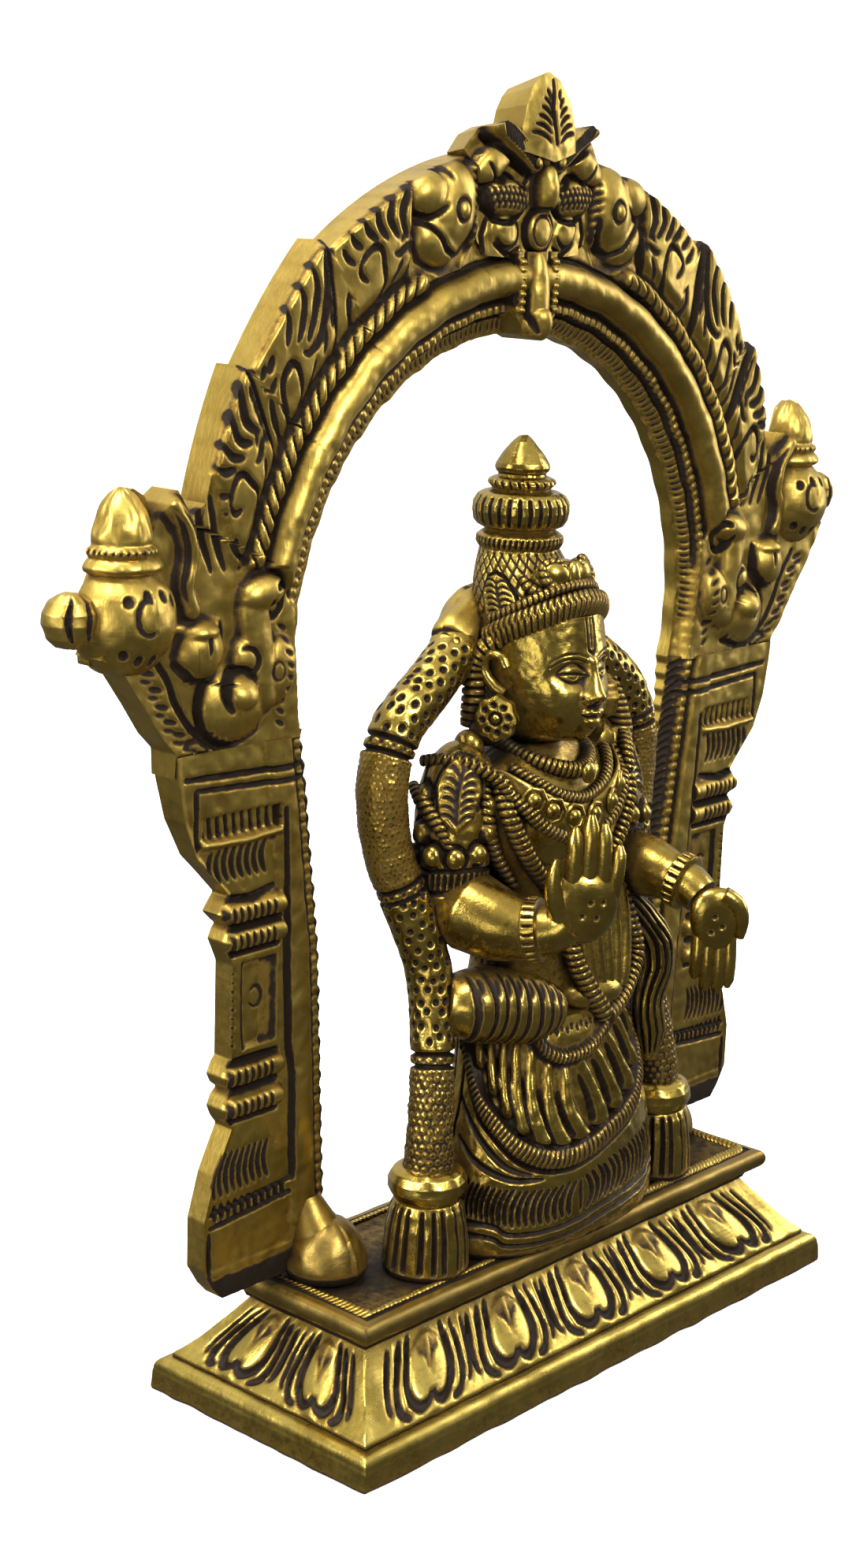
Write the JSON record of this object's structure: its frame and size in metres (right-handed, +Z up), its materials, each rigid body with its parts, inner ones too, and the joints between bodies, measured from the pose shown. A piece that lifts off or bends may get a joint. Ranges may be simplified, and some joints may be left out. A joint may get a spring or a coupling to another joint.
{
  "type": "shrine figure",
  "caption": "Standing brass shrine figure in festival dress and tall crown, on a lotus pedestal, framed by an ornamental lift-off arch.",
  "frame": {"origin": "middle of the pedestal's flat underside", "axes": "+Z up, -Y the way the figure faces, +X to the viewer's right when facing it"},
  "size_m": [0.1948, 0.0546, 0.219],
  "materials": {
    "brass_polished": "polished high spots, dark brown patina left in the chased lines",
    "brass_satin": "satin, hand filed, with reddish brown patina in the recesses"
  },
  "bodies": {
    "base": {"crown": "brass_polished", "crown_cone": "brass_polished", "crown_crest": "brass_polished", "crown_rings": "brass_polished", "earring_left": "brass_polished", "earring_right": "brass_polished", "folded_leg": "brass_polished", "forearm_left": "brass_polished", "forearm_right": "brass_polished", "garland_knot_left": "brass_polished", "garland_knot_right": "brass_polished", "garland_left": "brass_polished", "garland_right": "brass_polished", "hand_lowered": "brass_polished", "hand_raised": "brass_polished", "head": "brass_polished", "lotus_band": "brass_polished", "pedestal_slab": "brass_polished", "pedestal_top": "brass_satin", "shawl": "brass_satin", "side_drape": "brass_polished", "skirt": "brass_polished", "tassel_left": "brass_polished", "tassel_right": "brass_polished", "torso": "brass_polished", "upper_arm_left": "brass_polished", "upper_arm_right": "brass_polished"},
    "arch": {"arch_bracket_left": "brass_satin", "arch_bracket_right": "brass_satin", "arch_foot_left": "brass_satin", "arch_foot_right": "brass_satin", "arch_pillar_left": "brass_satin", "arch_pillar_right": "brass_satin", "arch_ring": "brass_satin", "crest_finial": "brass_polished", "crest_mask": "brass_polished", "crest_pendant": "brass_polished", "kalasha_ball_left": "brass_polished", "kalasha_ball_right": "brass_polished", "kalasha_left": "brass_polished", "kalasha_right": "brass_polished"}
  },
  "joints": [
    {"name": "arch_lift", "type": "slide", "parent": "base", "child": "arch", "axis": [0, 0, 1], "range_m": [0, 0.012]}
  ]
}
